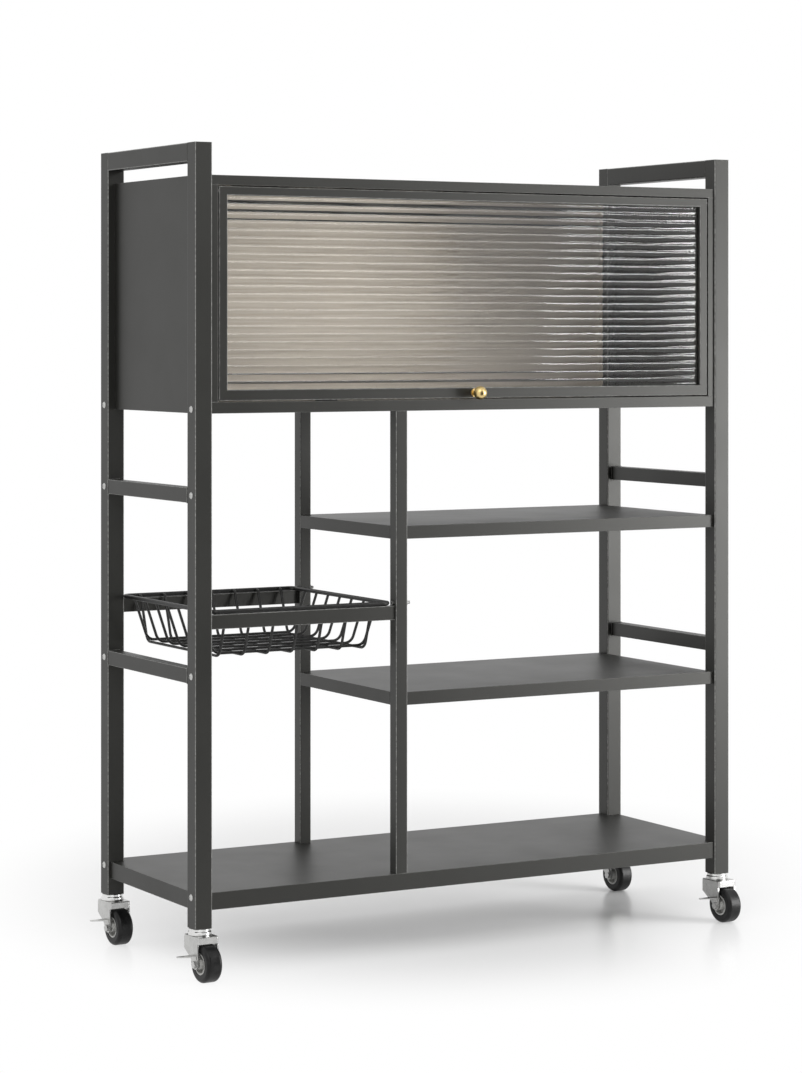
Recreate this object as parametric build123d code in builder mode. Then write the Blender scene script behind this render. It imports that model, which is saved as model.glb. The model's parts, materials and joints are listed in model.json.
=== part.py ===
from build123d import *
import os
from math import cos, radians, sin, tan

# Kitchen cart on four swivelling casters, in millimetres, +Z up and -Y to the front.
# The origin is on the floor, under the middle of the cart's outer box.

os.makedirs("parts", exist_ok=True)

# Frame
frame_width = 1200.0
frame_depth = 430.0
post_length = 1450.0
post_size = 35.0
post_wall = 1.5
post_corner = 2.5
post_cap = 3.0
caster_height = 96.0

# Side frames
top_rail_height = 35.0
crossbar_thickness = 25.0
crossbar_height = 28.0
crossbar_wall = 1.2
crossbar_corner = 1.5
upper_crossbar_rise = 784.0
lower_crossbar_rise = 450.0

# Inner posts between the bottom shelf and the cabinet
mid_post_size = 25.0
mid_post_wall = 1.2
mid_post_corner = 2.0
mid_post_inset = 426.0
end_plate = 3.0

# Sheet metal
shelf_sheet = 1.2
panel_sheet = 1.0
lip_width = 10.0
panel_flange = 12.0
rib_height = 15.0
rib_spacing = 260.0
post_gap = 0.3

# Setbacks behind the faces of the corner posts
cabinet_setback = 4.0
shelf_setback = 7.0
bottom_shelf_side_inset = 6.0
cabinet_side_inset = 15.0

# Heights above the foot of the posts
bottom_shelf_rise = 65.0
bottom_shelf_depth = 32.0
lower_shelf_rise = 411.0
upper_shelf_rise = 729.0
shelf_depth = 25.0
cabinet_bottom_rise = 949.0
cabinet_top_rise = 1390.0
cabinet_top_depth = 18.0
cabinet_floor_depth = 21.0

# Flip-up door
jamb_width = 14.0
jamb_depth = 20.0
jamb_wall = 1.5
door_gap = 2.5
door_depth = 16.0
door_wall = 1.5
stile_width = 17.0
door_top_rail = 16.0
door_bottom_rail = 20.0
glass_seat = 8.0
glass_thickness = 4.0
glass_overlap = 7.0
reed_pitch = 15.0
reed_height = 1.2
bead_thickness = 3.0
bead_clearance = 0.5
door_bevel = 1.0

# Door pivots and catches
pivot_from_front = 5.0
pivot_from_top = 8.0
pin_radius = 2.5
pin_clearance = 0.05
pin_head_radius = 3.0
pin_head_length = 2.0
pivot_block_length = 10.0
pivot_block_height = 13.0
catch_spacing = 620.0
catch_length = 40.0
catch_height = 13.0
catch_depth = 18.0
catch_gap = 0.4
strike_thickness = 1.5
strike_height = 15.0
magnet_bar = 3.0
magnet_inset = 2.0

# Door knob
knob_radius = 13.0
knob_neck_radius = 5.0
knob_base_radius = 8.0
knob_base_length = 2.0
knob_standoff = 9.0
knob_screw_radius = 2.0
knob_screw_head_radius = 4.0
knob_screw_head_length = 2.5
knob_screw_depth = 10.0

# Bolts, nuts and screws
bolt_radius = 3.0
bolt_hole_radius = 3.2
bolt_head_radius = 6.5
bolt_head_height = 3.5
nut_across_flats = 10.0
nut_height = 5.0
bolt_end = 2.5
short_bolt_depth = 14.0
cabinet_bolt_lift = 8.0
bottom_shelf_bolt_drop = 8.0
screw_radius = 2.1
screw_head_radius = 4.0
screw_head_height = 2.2
screw_depth = 6.0
screw_drop = 12.0

# Wire basket and its rails
rail_height = 27.0
rail_depth = 12.0
rail_wall = 1.2
rail_corner = 1.5
rail_rise = 550.0
rail_setback = 8.0
rim_radius = 4.2
rim_corner = 14.0
rim_rest_inset = 1.0
rest_gap = 0.3
wire_radius = 2.7
wire_sink = 1.2
basket_depth = 87.0
wall_lean = 19.0
wire_bend = 20.0
hook_bend = 6.0
hook_reach = 9.5
lengthwise_wires = 7
crosswise_wires = 7
lengthwise_pitch = 51.5
crosswise_pitch = 49.0
rim_left_gap = 7.0
rim_right_gap = 3.5
stop_radius = 4.0
stop_gap = 0.4
basket_bolt_end = 11.0

# Casters
caster_turn = 3.0
caster_trail = 27.0
wheel_radius = 35.0
wheel_width = 32.0
tyre_shoulder = 7.0
tyre_bevel = 0.8
hub_radius = 20.0
hub_length = 37.0
hub_boss_radius = 9.0
hub_web = 8.0
hub_rim = 3.0
hub_rim_inset = 1.0
hub_taper = 1.0
axle_radius = 4.0
axle_clearance = 0.06
leg_gap = 0.6
leg_thickness = 3.0
leg_front_inset = 3.0
leg_back_inset = 2.0
leg_shoulder = 24.0
leg_foot_radius = 8.0
yoke_top = 84.0
yoke_plate = 3.0
yoke_skirt = 12.5
yoke_front = 34.0
yoke_back = 21.0
yoke_corner = 4.0
yoke_edge = 1.6
race_radius = 22.0
race_lip_radius = 20.0
race_lip_height = 6.0
race_slope = 1.5
race_edge = 0.6
race_gap = 0.3
stem_radius = 5.0
stem_length = 28.0
king_pin_radius = 4.0
king_pin_clearance = 0.06
king_pin_head_radius = 7.0
king_pin_head_height = 2.5
socket_length = 32.0
axle_head_height = 4.0
axle_nut_height = 5.0
axle_across_flats = 12.0
axle_end = 2.0
lever_thickness = 2.0
lever_gap = 0.4
lever_eye_radius = 9.0
lever_lift = 13.0
lever_root_width = 18.0
lever_tip_width = 4.0
lever_reach = 29.0
lever_arm_back = 18.0

# Worked-out places
leg_outer = hub_length / 2 + leg_gap + leg_thickness
lever_outer = leg_outer + lever_gap + lever_thickness
lever_tip = lever_outer + lever_reach
lever_tip_trail = caster_trail - lever_arm_back
axle_tip = leg_outer + axle_nut_height + axle_end
turn = radians(caster_turn)
left_overhang = lever_tip * cos(turn) - lever_tip_trail * sin(turn) - post_size / 2
right_overhang = axle_tip * cos(turn) + (caster_trail + axle_radius) * sin(turn) - post_size / 2
tread_reach = (wheel_radius - tyre_shoulder) * cos(turn) + (wheel_width / 2 - tyre_shoulder) * sin(turn)
front_overhang = caster_trail * cos(turn) + tread_reach + tyre_shoulder - post_size / 2
yoke_reach = (yoke_back - yoke_corner) * cos(turn) + (leg_outer - yoke_corner) * sin(turn)
rear_overhang = max(yoke_reach + yoke_corner, race_radius) - post_size / 2

base = caster_height
left = -(frame_width + right_overhang - left_overhang) / 2
right = left + frame_width
front = -(frame_depth + rear_overhang - front_overhang) / 2
rear = front + frame_depth
top = base + post_length
inner_left = left + post_size
inner_right = right - post_size
mid_x = left + mid_post_inset
middle_x = (left + right) / 2
middle_y = (front + rear) / 2

cabinet_bottom = base + cabinet_bottom_rise
cabinet_top = base + cabinet_top_rise
cabinet_floor = cabinet_bottom + cabinet_floor_depth
cabinet_ceiling = cabinet_top - cabinet_top_depth
cabinet_front = front + cabinet_setback
cabinet_rear = rear - cabinet_setback
bottom_shelf_top = base + bottom_shelf_rise
lower_shelf_top = base + lower_shelf_rise
upper_shelf_top = base + upper_shelf_rise

door_left = inner_left + jamb_width + door_gap
door_right = inner_right - jamb_width - door_gap
door_bottom = cabinet_floor + door_gap
door_top = cabinet_ceiling - door_gap
door_middle_z = (door_bottom + door_top) / 2
pane_left = door_left + stile_width
pane_right = door_right - stile_width
pane_bottom = door_bottom + door_bottom_rail
pane_top = door_top - door_top_rail
pane_middle_z = (pane_bottom + pane_top) / 2
pivot_y = cabinet_front + pivot_from_front
pivot_z = door_top - pivot_from_top
door_back = cabinet_front + door_depth
glass_front = cabinet_front + glass_seat
glass_back = glass_front + glass_thickness

rail_bottom = base + rail_rise
rail_top = rail_bottom + rail_height
rim_z = rail_top + rest_gap + rim_radius
front_rail_y = front + rail_setback
rear_rail_y = rear - rail_setback - rail_depth
rim_left = inner_left + rim_left_gap
rim_right = mid_x - rim_right_gap - rim_radius
rim_front = front_rail_y + rail_depth - rim_radius - rim_rest_inset
rim_rear = rear_rail_y + rim_radius + rim_rest_inset
rim_middle_x = (rim_left + rim_right) / 2

corners = {
    "front_left": (left + post_size / 2, front + post_size / 2),
    "rear_left": (left + post_size / 2, rear - post_size / 2),
    "front_right": (right - post_size / 2, front + post_size / 2),
    "rear_right": (right - post_size / 2, rear - post_size / 2),
}


def save(piece, name):
    piece.label = name
    export_step(piece, "parts/" + name + ".step")


def box_between(x0, x1, y0, y1, z0, z1, mode=Mode.ADD):
    """A box between two corners, added to the part that is being built."""
    with Locations(((x0 + x1) / 2, (y0 + y1) / 2, (z0 + z1) / 2)):
        Box(x1 - x0, y1 - y0, z1 - z0, mode=mode)


def rod_along_x(x0, x1, y, z, radius, mode=Mode.ADD):
    with Locations(Location(((x0 + x1) / 2, y, z), (0, 90, 0))):
        Cylinder(radius, abs(x1 - x0), mode=mode)


def rod_along_y(x, y0, y1, z, radius, mode=Mode.ADD):
    with Locations(Location((x, (y0 + y1) / 2, z), (90, 0, 0))):
        Cylinder(radius, abs(y1 - y0), mode=mode)


def nut_along_x(x0, x1, y, z, across_flats):
    """A hexagonal prism round an X axis."""
    with BuildPart(mode=Mode.PRIVATE) as nut:
        with BuildSketch(Plane.YZ.offset(min(x0, x1))):
            with Locations((y, z)):
                RegularPolygon(across_flats / 2, 6, major_radius=False)
        extrude(amount=abs(x1 - x0))
    return nut.part


# Corner posts: square tube with a welded cap, open at the foot for the caster's socket.
# Long bolts run through both walls; short ones hold the crossbars through the outer wall only.
cabinet_bolt_z = cabinet_bottom + cabinet_bolt_lift
bottom_shelf_bolt_z = bottom_shelf_top - bottom_shelf_bolt_drop
long_bolt_heights = [cabinet_bolt_z, bottom_shelf_bolt_z]
short_bolt_heights = [
    base + upper_crossbar_rise + crossbar_height / 2,
    base + lower_crossbar_rise + crossbar_height / 2,
]
shelf_screw_heights = [lower_shelf_top - screw_drop, upper_shelf_top - screw_drop]


def corner_post(x, y):
    outward = -1 if x < middle_x else 1
    outer = x + outward * post_size / 2
    with BuildPart() as post:
        with BuildSketch(Plane.XY.offset(base)):
            with Locations((x, y)):
                RectangleRounded(post_size, post_size, post_corner)
                inner = post_size - 2 * post_wall
                RectangleRounded(inner, inner, post_corner / 2, mode=Mode.SUBTRACT)
        extrude(amount=post_length - post_cap)
        with BuildSketch(Plane.XY.offset(top - post_cap)):
            with Locations((x, y)):
                RectangleRounded(post_size, post_size, post_corner)
        extrude(amount=post_cap)
        for z in long_bolt_heights:
            rod_along_x(x - post_size, x + post_size, y, z, bolt_hole_radius, Mode.SUBTRACT)
        for z in short_bolt_heights:
            rod_along_x(outer - outward * 2 * post_wall, outer, y, z, bolt_hole_radius, Mode.SUBTRACT)
        if x > middle_x:
            for z in shelf_screw_heights:
                rod_along_x(inner_right, inner_right + 2 * post_wall, y, z, screw_radius, Mode.SUBTRACT)
    return post.part


for corner, (post_x, post_y) in corners.items():
    save(corner_post(post_x, post_y), "post_" + corner)


# Rails of the side frames: rectangular tube from the front post to the rear post.
def side_tube(x0, x1, z0, z1, wall, corner):
    with BuildPart() as tube:
        with BuildSketch(Plane.XZ.offset(-(front + post_size))):
            with Locations(((x0 + x1) / 2, (z0 + z1) / 2)):
                RectangleRounded(x1 - x0, z1 - z0, corner)
                RectangleRounded(x1 - x0 - 2 * wall, z1 - z0 - 2 * wall, corner / 2, mode=Mode.SUBTRACT)
        extrude(amount=-(frame_depth - 2 * post_size))
    return tube.part


for side, outer, inward in (("left", left, 1), ("right", right, -1)):
    near, far = sorted((outer, outer + inward * post_size))
    save(side_tube(near, far, top - top_rail_height, top, post_wall, post_corner), "top_rail_" + side)
    near, far = sorted((outer, outer + inward * crossbar_thickness))
    for level, rise in (("upper", upper_crossbar_rise), ("lower", lower_crossbar_rise)):
        low = base + rise
        bar = side_tube(near, far, low, low + crossbar_height, crossbar_wall, crossbar_corner)
        save(bar, "crossbar_" + level + "_" + side)


# Inner posts: square tube with end plates, bolted to the bottom shelf and the cabinet.
def mid_post(y0):
    centre = (mid_x + mid_post_size / 2, y0 + mid_post_size / 2)
    inner = mid_post_size - 2 * mid_post_wall
    with BuildPart() as post:
        with BuildSketch(Plane.XY.offset(bottom_shelf_top)):
            with Locations(centre):
                RectangleRounded(mid_post_size, mid_post_size, mid_post_corner)
        extrude(amount=cabinet_bottom - bottom_shelf_top)
        with BuildSketch(Plane.XY.offset(bottom_shelf_top + end_plate)):
            with Locations(centre):
                RectangleRounded(inner, inner, mid_post_corner / 2)
        extrude(amount=cabinet_bottom - bottom_shelf_top - 2 * end_plate, mode=Mode.SUBTRACT)
        with BuildSketch(Plane.XY.offset(bottom_shelf_top)):
            with Locations(centre):
                Circle(bolt_radius)
        extrude(amount=cabinet_bottom - bottom_shelf_top, mode=Mode.SUBTRACT)
        rod_along_x(
            mid_x - post_gap,
            mid_x + mid_post_size + post_gap,
            centre[1],
            rim_z,
            bolt_hole_radius,
            Mode.SUBTRACT,
        )
        inner_wall = mid_x + mid_post_size - 2 * mid_post_wall
        for z in shelf_screw_heights:
            rod_along_x(inner_wall, mid_x + mid_post_size, centre[1], z, screw_radius, Mode.SUBTRACT)
    return post.part


mid_front_y = cabinet_front
mid_rear_y = cabinet_rear - mid_post_size
save(mid_post(mid_front_y), "mid_post_front")
save(mid_post(mid_rear_y), "mid_post_rear")


# Sheet trays, open below, with a flange and a turned-in lip all round.
def tray_outline(x0, x1, y0, y1, notches, inset):
    """Draws a rectangle with a notch at each named corner, all drawn in by the inset."""
    with Locations(((x0 + x1) / 2, (y0 + y1) / 2)):
        Rectangle(x1 - x0 - 2 * inset, y1 - y0 - 2 * inset)
    for x, y, across, along in notches:
        with Locations((x, y)):
            Rectangle(2 * (across + inset), 2 * (along + inset), mode=Mode.SUBTRACT)


def tray(x0, x1, y0, y1, surface, depth, sheet, notches, ribs):
    with BuildPart() as pan:
        with BuildSketch(Plane.XY.offset(surface - depth)):
            tray_outline(x0, x1, y0, y1, notches, 0.0)
        extrude(amount=depth)
        with BuildSketch(Plane.XY.offset(surface - depth + sheet)):
            tray_outline(x0, x1, y0, y1, notches, sheet)
        extrude(amount=depth - 2 * sheet, mode=Mode.SUBTRACT)
        with BuildSketch(Plane.XY.offset(surface - depth)):
            tray_outline(x0, x1, y0, y1, notches, lip_width)
        extrude(amount=sheet, mode=Mode.SUBTRACT)
        for x in ribs:
            rib_low = surface - min(rib_height, depth - sheet)
            box_between(x, x + sheet, y0 + sheet / 2, y1 - sheet / 2, rib_low, surface - sheet / 2)
    return pan


def rib_places(x0, x1):
    count = max(1, int((x1 - x0) / rib_spacing))
    return [x0 + (x1 - x0) * k / (count + 1) for k in range(1, count + 1)]


def corner_notches(x0, x1, y0, y1):
    """Notches for the four corner posts, with a small gap."""
    across_left = inner_left + post_gap - x0
    across_right = x1 - inner_right + post_gap
    along_front = front + post_size + post_gap - y0
    along_rear = y1 - rear + post_size + post_gap
    return [
        (x0, y0, across_left, along_front),
        (x0, y1, across_left, along_rear),
        (x1, y0, across_right, along_front),
        (x1, y1, across_right, along_rear),
    ]


mid_post_centres = [
    (mid_x + mid_post_size / 2, mid_front_y + mid_post_size / 2),
    (mid_x + mid_post_size / 2, mid_rear_y + mid_post_size / 2),
]

shelf_x0 = left + bottom_shelf_side_inset
shelf_x1 = right - bottom_shelf_side_inset
bottom_notches = corner_notches(shelf_x0, shelf_x1, cabinet_front, cabinet_rear)
shelf_bottom = tray(
    shelf_x0,
    shelf_x1,
    cabinet_front,
    cabinet_rear,
    bottom_shelf_top,
    bottom_shelf_depth,
    shelf_sheet,
    bottom_notches,
    rib_places(shelf_x0, shelf_x1),
)
with shelf_bottom:
    for x, y in mid_post_centres:
        with Locations((x, y, bottom_shelf_top)):
            Cylinder(bolt_hole_radius, 4 * shelf_sheet, mode=Mode.SUBTRACT)
    for x, y in corners.values():
        rod_along_x(x - post_size, x + post_size, y, bottom_shelf_bolt_z, bolt_hole_radius, Mode.SUBTRACT)
save(shelf_bottom.part, "shelf_bottom")


def side_shelf(surface):
    """A shelf between the inner posts and the right side frame, notched round the inner posts."""
    y0 = front + shelf_setback
    y1 = rear - shelf_setback
    x1 = inner_right
    notch_across = mid_post_size + post_gap
    notches = [
        (mid_x, y0, notch_across, mid_front_y + mid_post_size + post_gap - y0),
        (mid_x, y1, notch_across, y1 - mid_rear_y + post_gap),
    ]
    shelf = tray(mid_x, x1, y0, y1, surface, shelf_depth, shelf_sheet, notches, rib_places(mid_x, x1))
    with shelf:
        for x, y in mid_post_centres:
            rod_along_x(x, x + mid_post_size, y, surface - screw_drop, screw_radius, Mode.SUBTRACT)
        for y in (front + post_size / 2, rear - post_size / 2):
            rod_along_x(x1 - lip_width, x1, y, surface - screw_drop, screw_radius, Mode.SUBTRACT)
    return shelf.part


save(side_shelf(lower_shelf_top), "shelf_lower")
save(side_shelf(upper_shelf_top), "shelf_upper")

# Cabinet: top and floor trays, two side panels, a back panel and two door jambs.
panel_left = left + cabinet_side_inset
panel_right = right - cabinet_side_inset
tray_x0 = panel_left + panel_sheet
tray_x1 = panel_right - panel_sheet
tray_y1 = cabinet_rear - panel_sheet
cabinet_notches = corner_notches(tray_x0, tray_x1, cabinet_front, tray_y1)

cabinet_top_tray = tray(
    tray_x0,
    tray_x1,
    cabinet_front,
    tray_y1,
    cabinet_top,
    cabinet_top_depth,
    panel_sheet,
    cabinet_notches,
    rib_places(tray_x0, tray_x1),
)
save(cabinet_top_tray.part, "cabinet_top")

cabinet_floor_tray = tray(
    tray_x0,
    tray_x1,
    cabinet_front,
    tray_y1,
    cabinet_floor,
    cabinet_floor_depth,
    panel_sheet,
    cabinet_notches,
    rib_places(tray_x0, tray_x1),
)
with cabinet_floor_tray:
    for x, y in corners.values():
        rod_along_x(x - post_size, x + post_size, y, cabinet_bolt_z, bolt_hole_radius, Mode.SUBTRACT)
    for x, y in mid_post_centres:
        box_between(
            x - mid_post_size / 2,
            x + mid_post_size / 2,
            y - mid_post_size / 2,
            min(y + mid_post_size / 2, tray_y1),
            cabinet_bottom,
            cabinet_bottom + panel_sheet,
        )
        with Locations((x, y, cabinet_bottom)):
            Cylinder(bolt_hole_radius, 4 * panel_sheet, mode=Mode.SUBTRACT)
save(cabinet_floor_tray.part, "cabinet_floor")


def cabinet_side(outer, inward):
    """Side panel between the posts, with a flange along its front and rear edges."""
    y0 = front + post_size
    y1 = rear - post_size
    inner = outer + inward * panel_sheet
    flange = outer + inward * panel_flange
    x0, x1 = sorted((outer, inner))
    f0, f1 = sorted((outer, flange))
    low = cabinet_floor + post_gap
    high = cabinet_ceiling - post_gap
    with BuildPart() as panel:
        box_between(x0, x1, y0, y1, cabinet_bottom, cabinet_top)
        box_between(f0, f1, y0, y0 + panel_sheet, low, high)
        box_between(f0, f1, y1 - panel_sheet, y1, low, high)
    return panel.part


save(cabinet_side(panel_left, 1), "cabinet_side_left")
save(cabinet_side(panel_right, -1), "cabinet_side_right")

with BuildPart() as cabinet_back:
    flange_low = cabinet_floor + post_gap
    flange_high = cabinet_ceiling - post_gap
    box_between(inner_left, inner_right, tray_y1, cabinet_rear, cabinet_bottom, cabinet_top)
    for x0 in (inner_left, inner_right - panel_sheet):
        box_between(x0, x0 + panel_sheet, cabinet_rear - panel_flange, cabinet_rear, flange_low, flange_high)
save(cabinet_back.part, "cabinet_back")

with BuildPart() as door_jambs:
    for outer, inward in ((inner_left, 1), (inner_right, -1)):
        x0, x1 = sorted((outer, outer + inward * jamb_width))
        box_between(x0, x1, cabinet_front, cabinet_front + jamb_depth, cabinet_floor, cabinet_ceiling)
        box_between(
            x0 + jamb_wall,
            x1 - jamb_wall,
            cabinet_front + jamb_wall,
            cabinet_front + jamb_depth,
            cabinet_floor,
            cabinet_ceiling,
            Mode.SUBTRACT,
        )
        inner_face = outer + inward * jamb_width
        rod_along_x(
            inner_face - inward * 2 * jamb_wall, inner_face, pivot_y, pivot_z, pin_radius, Mode.SUBTRACT
        )
save(door_jambs.part, "door_jambs")

# Flip-up door: a channel frame that is open behind, with the pane seated on its inner wall.
with BuildPart() as door_frame:
    box_between(door_left, door_right, cabinet_front, door_back, door_bottom, door_top)
    front_edges = door_frame.faces().sort_by(Axis.Y)[0].edges()
    chamfer(front_edges, door_wall / 2)
    box_between(pane_left, pane_right, cabinet_front, door_back, pane_bottom, pane_top, Mode.SUBTRACT)
    sight_edges = door_frame.faces().sort_by(Axis.Y)[0].inner_wires()[0].edges()
    chamfer(sight_edges, door_bevel)
    box_between(
        door_left + door_wall,
        door_right - door_wall,
        glass_front,
        door_back,
        door_bottom + door_wall,
        door_top - door_wall,
        Mode.SUBTRACT,
    )
    with BuildSketch(Plane.XZ.offset(-(cabinet_front + door_wall))):
        with Locations(((door_left + door_right) / 2, door_middle_z)):
            Rectangle(door_right - door_left - 2 * door_wall, door_top - door_bottom - 2 * door_wall)
        with Locations(((pane_left + pane_right) / 2, pane_middle_z)):
            Rectangle(
                pane_right - pane_left + 2 * door_wall,
                pane_top - pane_bottom + 2 * door_wall,
                mode=Mode.SUBTRACT,
            )
    extrude(amount=-(glass_seat - door_wall), mode=Mode.SUBTRACT)
    for x0 in (door_left, door_right - door_wall):
        rod_along_x(
            x0 - door_wall, x0 + 2 * door_wall, pivot_y, pivot_z, pin_radius + pin_clearance, Mode.SUBTRACT
        )
    rod_along_y(
        middle_x,
        cabinet_front - door_wall,
        cabinet_front + 2 * door_wall,
        (door_bottom + pane_bottom) / 2,
        knob_screw_radius + bead_clearance / 2,
        Mode.SUBTRACT,
    )
save(door_frame.part, "door_frame")


def reeded_section():
    """The pane's section: a flat back and convex reeds down its front."""
    low = pane_bottom - glass_overlap
    high = pane_top + glass_overlap
    flat = glass_front + reed_height
    count = int((pane_top - pane_bottom) / reed_pitch)
    start = pane_middle_z - count * reed_pitch / 2
    with BuildLine() as outline:
        Polyline((flat, start), (flat, low), (glass_back, low), (glass_back, high), (flat, high))
        Line((flat, high), (flat, start + count * reed_pitch))
        for k in range(count):
            z0 = start + k * reed_pitch
            ThreePointArc(
                (flat, z0),
                (glass_front, z0 + reed_pitch / 2),
                (flat, z0 + reed_pitch),
            )
    return outline


with BuildPart() as door_glass:
    with BuildSketch(Plane.YZ.offset(pane_left - glass_overlap)):
        add(reeded_section().line)
        make_face()
    extrude(amount=pane_right - pane_left + 2 * glass_overlap)
save(door_glass.part, "door_glass")

# Glazing bead: a ring that holds the pane down on its seat.
with BuildPart() as glazing_bead:
    with BuildSketch(Plane.XZ.offset(-glass_back)):
        with Locations(((door_left + door_right) / 2, door_middle_z)):
            Rectangle(
                door_right - door_left - 2 * (door_wall + bead_clearance),
                door_top - door_bottom - 2 * (door_wall + bead_clearance),
            )
        with Locations(((pane_left + pane_right) / 2, pane_middle_z)):
            Rectangle(pane_right - pane_left, pane_top - pane_bottom, mode=Mode.SUBTRACT)
    extrude(amount=-bead_thickness)
save(glazing_bead.part, "glazing_bead")

# Pivots: a pin in each jamb, and a bearing block in each top corner of the door.
with BuildPart() as pivot_blocks:
    for outer, inward in ((door_left + door_wall, 1), (door_right - door_wall, -1)):
        x0, x1 = sorted((outer, outer + inward * pivot_block_length))
        box_between(
            x0,
            x1,
            cabinet_front + door_wall,
            glass_front - post_gap,
            door_top - door_wall - pivot_block_height,
            door_top - door_wall,
        )
        rod_along_x(
            x0 - door_wall, x1 + door_wall, pivot_y, pivot_z, pin_radius + pin_clearance, Mode.SUBTRACT
        )
save(pivot_blocks.part, "pivot_blocks")

with BuildPart() as pivot_pins:
    for face, inward in ((inner_left + jamb_width, 1), (inner_right - jamb_width, -1)):
        head = face - inward * jamb_wall
        pin_end = face + inward * (door_gap + door_wall + pivot_block_length)
        rod_along_x(head - inward * pin_head_length, head, pivot_y, pivot_z, pin_head_radius)
        rod_along_x(head, pin_end, pivot_y, pivot_z, pin_radius)
save(pivot_pins.part, "pivot_pins")

# Magnetic catches on the cabinet's floor, and their strikes on the door.
catch_places = [middle_x - catch_spacing / 2, middle_x + catch_spacing / 2]
catch_face = door_back + strike_thickness + catch_gap
with BuildPart() as door_catches:
    for x in catch_places:
        box_between(
            x - catch_length / 2,
            x + catch_length / 2,
            catch_face + magnet_bar,
            catch_face + catch_depth,
            cabinet_floor,
            cabinet_floor + catch_height,
        )
        lower_bar = cabinet_floor + magnet_inset
        upper_bar = cabinet_floor + catch_height - magnet_inset - magnet_bar
        for low in (lower_bar, upper_bar):
            box_between(
                x - catch_length / 3,
                x + catch_length / 3,
                catch_face,
                catch_face + 2 * magnet_bar,
                low,
                low + magnet_bar,
            )
save(door_catches.part, "door_catches")

with BuildPart() as catch_strikes:
    for x in catch_places:
        box_between(
            x - catch_length / 2,
            x + catch_length / 2,
            door_back,
            door_back + strike_thickness,
            door_bottom,
            door_bottom + strike_height,
        )
save(catch_strikes.part, "catch_strikes")

# Knob: a ball on a waisted neck, turned in one piece, with its screw from behind.
knob_z = (door_bottom + pane_bottom) / 2
knob_centre_y = cabinet_front - knob_standoff - knob_radius
with BuildPart() as door_knob:
    rod_along_y(middle_x, cabinet_front - knob_base_length, cabinet_front, knob_z, knob_base_radius)
    rod_along_y(middle_x, knob_centre_y, cabinet_front - knob_base_length, knob_z, knob_neck_radius)
    with Locations((middle_x, knob_centre_y, knob_z)):
        Sphere(knob_radius)
    rod_along_y(
        middle_x, cabinet_front - knob_screw_depth, cabinet_front, knob_z, knob_screw_radius, Mode.SUBTRACT
    )
save(door_knob.part, "door_knob")

with BuildPart() as knob_screw:
    seat = cabinet_front + door_wall
    rod_along_y(middle_x, cabinet_front - knob_screw_depth, seat, knob_z, knob_screw_radius)
    rod_along_y(middle_x, seat, seat + knob_screw_head_length, knob_z, knob_screw_head_radius)
save(knob_screw.part, "knob_screw")


# Basket rails: rectangular tube from the left posts to the inner posts.
def basket_rail(y0):
    with BuildPart() as rail:
        with BuildSketch(Plane.YZ.offset(inner_left)):
            with Locations((y0 + rail_depth / 2, rail_bottom + rail_height / 2)):
                RectangleRounded(rail_depth, rail_height, rail_corner)
                RectangleRounded(
                    rail_depth - 2 * rail_wall, rail_height - 2 * rail_wall, rail_corner / 2,
                    mode=Mode.SUBTRACT,
                )
        extrude(amount=mid_x - inner_left)
    return rail.part


save(basket_rail(front_rail_y), "basket_rail_front")
save(basket_rail(rear_rail_y), "basket_rail_rear")

# Wire basket: a rod rim that lies on the rails, and bent wires welded where they cross.
basket_floor_z = rim_z - basket_depth
lean_run = (rim_z - basket_floor_z) * tan(radians(wall_lean))


def crosswise_wire(x):
    """A wire from the front rim down, back under the load and up to the rear rim."""
    points = [
        (x, rim_front, rim_z),
        (x, rim_front + hook_reach, rim_z),
        (x, rim_front + hook_reach + lean_run, basket_floor_z),
        (x, rim_rear - hook_reach - lean_run, basket_floor_z),
        (x, rim_rear - hook_reach, rim_z),
        (x, rim_rear, rim_z),
    ]
    with BuildPart() as wire:
        with BuildLine() as path:
            FilletPolyline(*points, radius=[hook_bend, wire_bend, wire_bend, hook_bend])
        with BuildSketch(Plane(path.line @ 0, z_dir=path.line % 0)):
            Circle(wire_radius)
        sweep()
    return wire.part


def lengthwise_wire(y):
    """A wire from the left rim down, along on top of the other wires and up to the right rim."""
    level = basket_floor_z + 2 * wire_radius - wire_sink
    run = (rim_z - level) * tan(radians(wall_lean))
    points = [
        (rim_left, y, rim_z),
        (rim_left + run, y, level),
        (rim_right - run, y, level),
        (rim_right, y, rim_z),
    ]
    with BuildPart() as wire:
        with BuildLine() as path:
            FilletPolyline(*points, radius=wire_bend)
        with BuildSketch(Plane(path.line @ 0, z_dir=path.line % 0)):
            Circle(wire_radius)
        sweep()
    return wire.part


def basket_rim():
    with BuildSketch(Plane.XY.offset(rim_z)) as outline:
        with Locations((rim_middle_x, middle_y)):
            RectangleRounded(rim_right - rim_left, rim_rear - rim_front, rim_corner)
    path = outline.sketch.face().outer_wire()
    with BuildPart() as rim:
        with BuildSketch(Plane(path @ 0, z_dir=path % 0)):
            Circle(rim_radius)
        sweep(path=path)
    return rim.part


def spread(centre, count, pitch):
    return [centre + (k - (count - 1) / 2) * pitch for k in range(count)]


basket_pieces = [basket_rim()]
basket_pieces += [crosswise_wire(x) for x in spread(rim_middle_x, crosswise_wires, lengthwise_pitch)]
basket_pieces += [lengthwise_wire(y) for y in spread(middle_y, lengthwise_wires, crosswise_pitch)]
with BuildPart() as wire_basket:
    add(basket_pieces)
save(wire_basket.part, "wire_basket")

# Side stops that keep the rim between the posts, on bolts through the inner posts.
with BuildPart() as basket_stops:
    for x, y in mid_post_centres:
        rod_along_x(rim_right + rim_radius + stop_gap, mid_x, y, rim_z, stop_radius)
        rod_along_x(rim_right, mid_x, y, rim_z, bolt_radius, Mode.SUBTRACT)
save(basket_stops.part, "basket_stops")

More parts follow.
